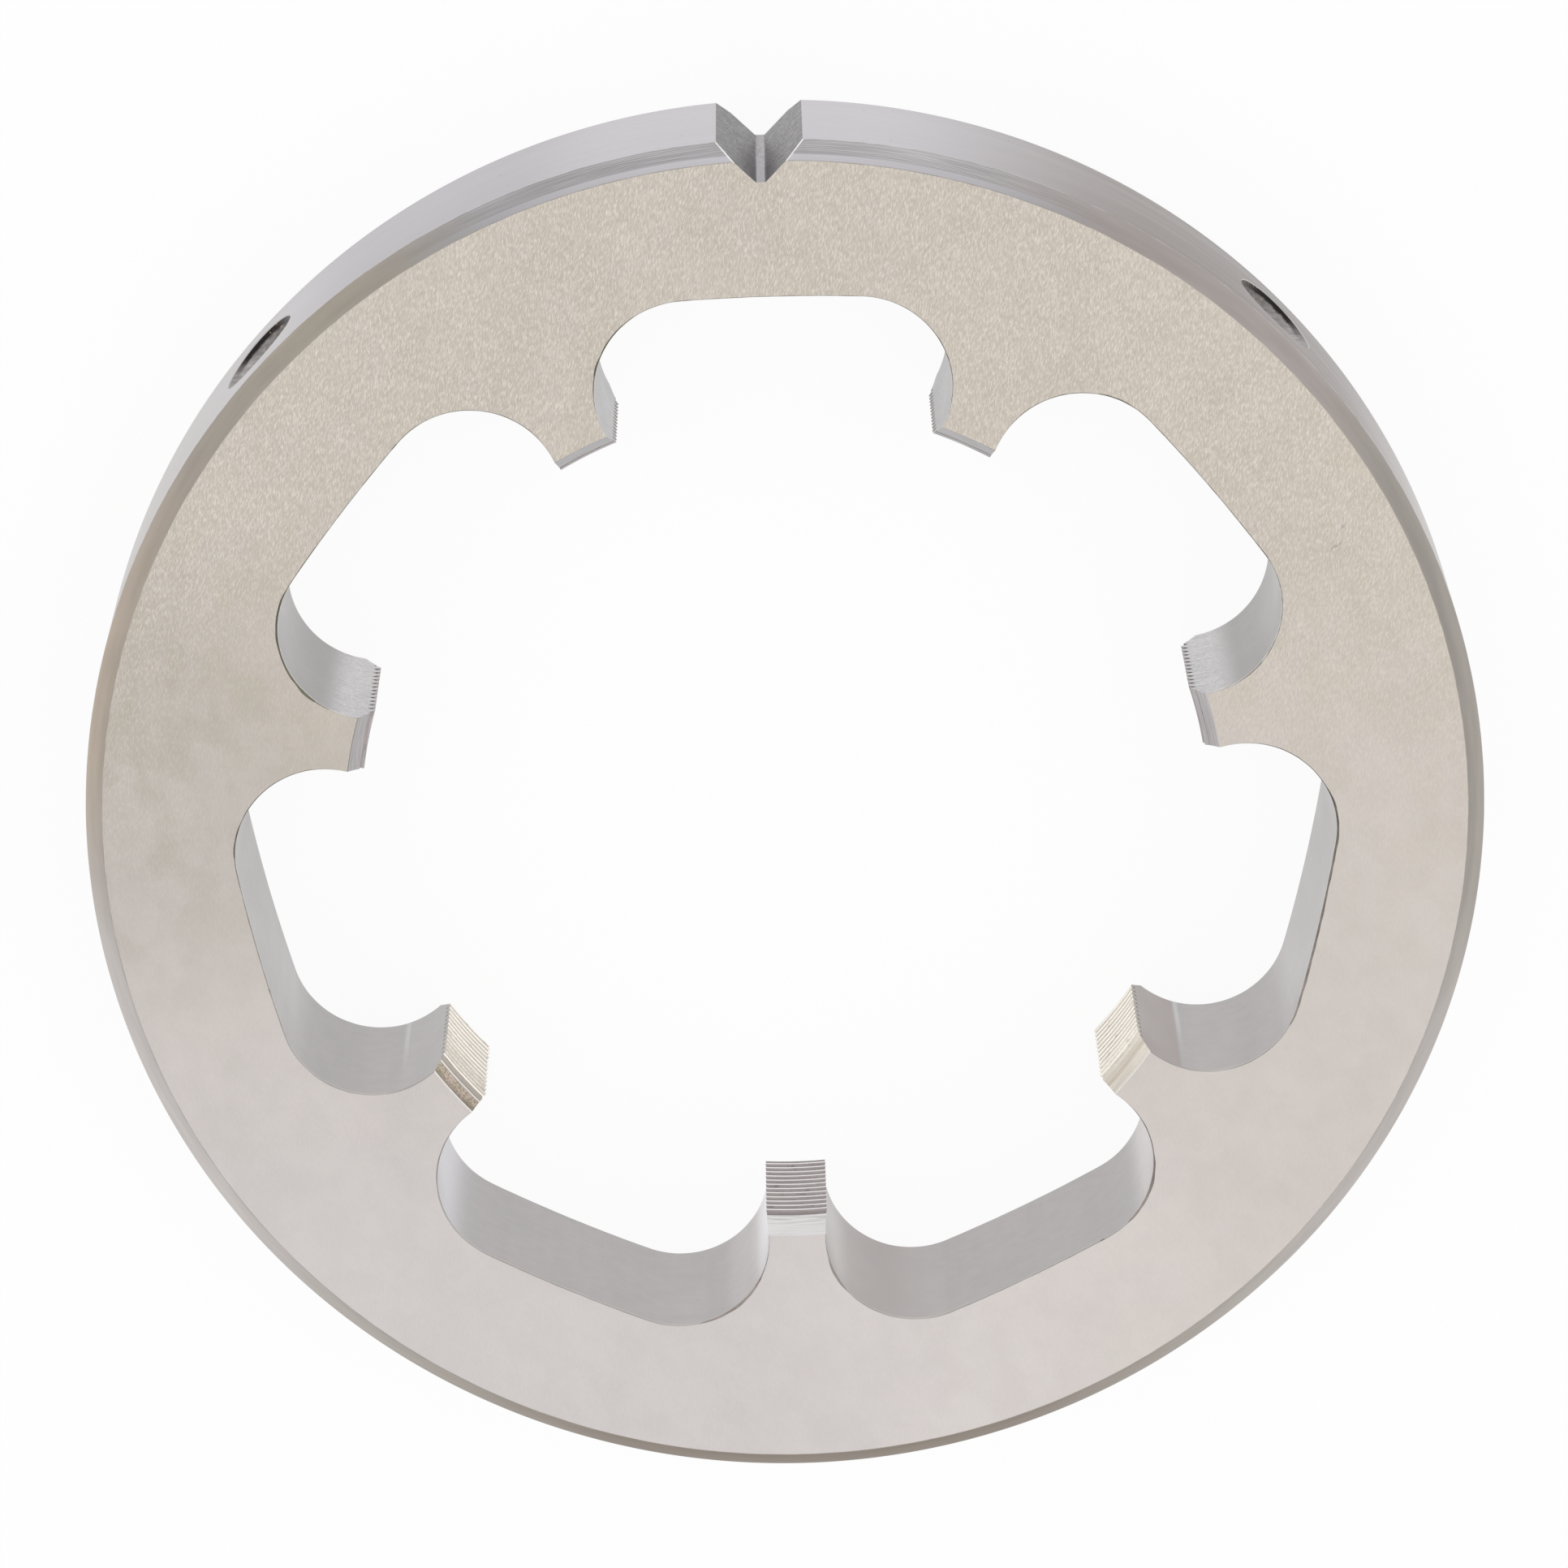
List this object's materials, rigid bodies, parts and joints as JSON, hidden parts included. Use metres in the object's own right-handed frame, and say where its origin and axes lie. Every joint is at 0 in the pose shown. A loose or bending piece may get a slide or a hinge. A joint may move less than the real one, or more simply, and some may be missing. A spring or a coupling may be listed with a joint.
{
  "type": "round threading die",
  "caption": "Solid round threading die: a flat steel ring with chip flutes, short threaded lands around an open bore, a V notch and conical screw seats in its rim.",
  "frame": {"origin": "centre of the die's axis on its plain face, the one it lies on", "axes": "+Z along the thread axis, out of the marked face; +Y towards the V notch in the rim"},
  "size_m": [0.12, 0.1199, 0.0168],
  "materials": {
    "ground_steel": "satin"
  },
  "bodies": {
    "root": {"round_die": "ground_steel"}
  },
  "joints": []
}
